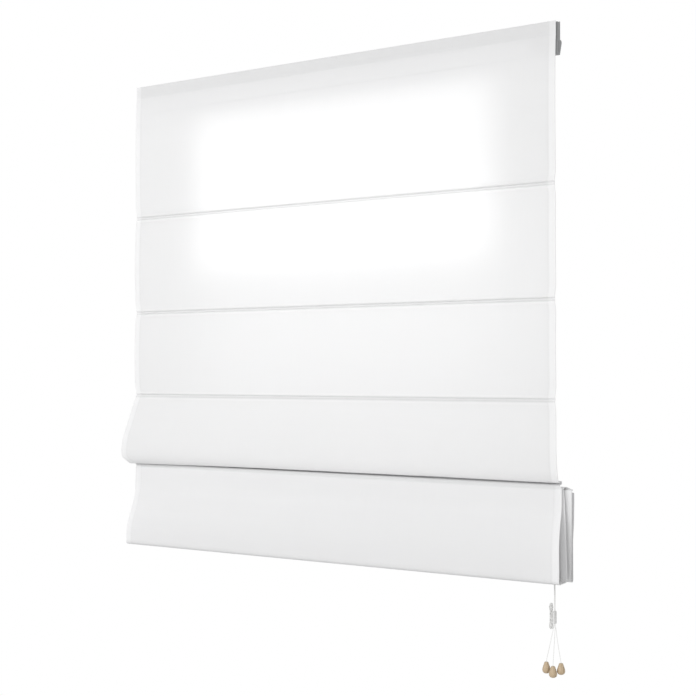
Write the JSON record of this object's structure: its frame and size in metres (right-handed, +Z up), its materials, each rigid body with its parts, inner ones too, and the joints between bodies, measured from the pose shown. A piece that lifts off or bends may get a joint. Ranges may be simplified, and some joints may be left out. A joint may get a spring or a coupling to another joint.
{
  "type": "roman blind",
  "caption": "White roman blind, half raised: headrail with cord lock, fabric on rods gathered in soft folds at the bottom, and pull cords with wooden knobs.",
  "frame": {"origin": "midway between the two bracket screw holes, on the wall face", "axes": "+X along the width to the right as seen from the room, +Y into the wall, +Z up"},
  "size_m": [1.0081, 0.0696, 1.1722],
  "materials": {
    "rail": "white powder coat",
    "cap": "matt grey moulded",
    "steel": "plain zinc plated",
    "strip": "woven hook and loop",
    "white_plastic": "moulded white",
    "cord": "braided",
    "fabric": "fine plain weave, lets some light through",
    "rod": "glass fibre rod",
    "tape": "thin woven tape",
    "bar": "mill",
    "wood": "turned, clear lacquer"
  },
  "bodies": {
    "headrail": {"headrail": "rail", "end_cap_left": "cap", "end_cap_right": "cap", "lock_body": "cap", "wall_bracket_left": "steel", "wall_bracket_right": "steel", "lock_pins": "steel", "hook_strip": "strip", "loop_strip": "strip", "cord_guide_left": "white_plastic", "cord_guide_middle": "white_plastic", "cord_guide_right": "white_plastic", "rail_cords": "cord", "lift_cords": "cord", "fabric_drop": "fabric", "pull_cord_left": "cord", "pull_cord_middle": "cord", "pull_cord_right": "cord"},
    "stack": {"fabric_folds": "fabric", "rod_4": "rod", "rod_5": "rod", "rod_6": "rod", "rod_7": "rod", "rod_8": "rod", "rod_tape_4": "tape", "rod_tape_5": "tape", "rod_tape_6": "tape", "rod_tape_7": "tape", "rod_tape_8": "tape", "rings_4": "white_plastic", "rings_6": "white_plastic", "rings_8": "white_plastic", "cord_stops": "white_plastic", "bottom_bar": "bar", "bar_cap_left": "white_plastic", "bar_cap_right": "white_plastic"},
    "rod_1": {"rod_1": "rod", "rod_tape_1": "tape"},
    "rod_2": {"rod_2": "rod", "rod_tape_2": "tape", "rings_2": "white_plastic"},
    "rod_3": {"rod_3": "rod", "rod_tape_3": "tape"},
    "pull_knobs": {"knob_left": "wood", "knob_middle": "wood", "knob_right": "wood", "cord_hank": "cord"},
    "lock_roller": {"lock_roller": "white_plastic"},
    "lock_pawl": {"lock_pawl": "white_plastic"}
  },
  "joints": [
    {"name": "blind_lift", "type": "slide", "parent": "headrail", "child": "stack", "axis": [0, 0, 1], "range_m": [0, 0.7], "deforming": ["fabric_drop", "lift_cords", "pull_cord_left", "pull_cord_middle", "pull_cord_right"]},
    {"name": "rod_1_lift", "type": "slide", "parent": "headrail", "child": "rod_1", "axis": [0, 0, 1], "range_m": [0, 0.2099]},
    {"name": "rod_2_lift", "type": "slide", "parent": "headrail", "child": "rod_2", "axis": [0, 0, 1], "range_m": [0, 0.3999]},
    {"name": "rod_3_lift", "type": "slide", "parent": "headrail", "child": "rod_3", "axis": [0, 0, 1], "range_m": [0, 0.5651]},
    {"name": "cord_pull", "type": "slide", "parent": "headrail", "child": "pull_knobs", "axis": [0, 0, 1], "range_m": [-0.7001, 0]},
    {"name": "roller_spin", "type": "hinge", "parent": "headrail", "child": "lock_roller", "pos_m": [0.4814, -0.0145, -0.008], "axis": [0, 1, 0], "continuous": true},
    {"name": "pawl_tilt", "type": "hinge", "parent": "headrail", "child": "lock_pawl", "pos_m": [0.4702, -0.0145, -0.029], "axis": [0, -1, 0], "range_deg": [0, 25]}
  ],
  "couplings": [
    {"joint": "rod_1_lift", "follows": "blind_lift", "ratio": 0.29967},
    {"joint": "rod_2_lift", "follows": "blind_lift", "ratio": 0.57115},
    {"joint": "rod_3_lift", "follows": "blind_lift", "ratio": 0.80721},
    {"joint": "cord_pull", "follows": "blind_lift", "ratio": -1}
  ]
}
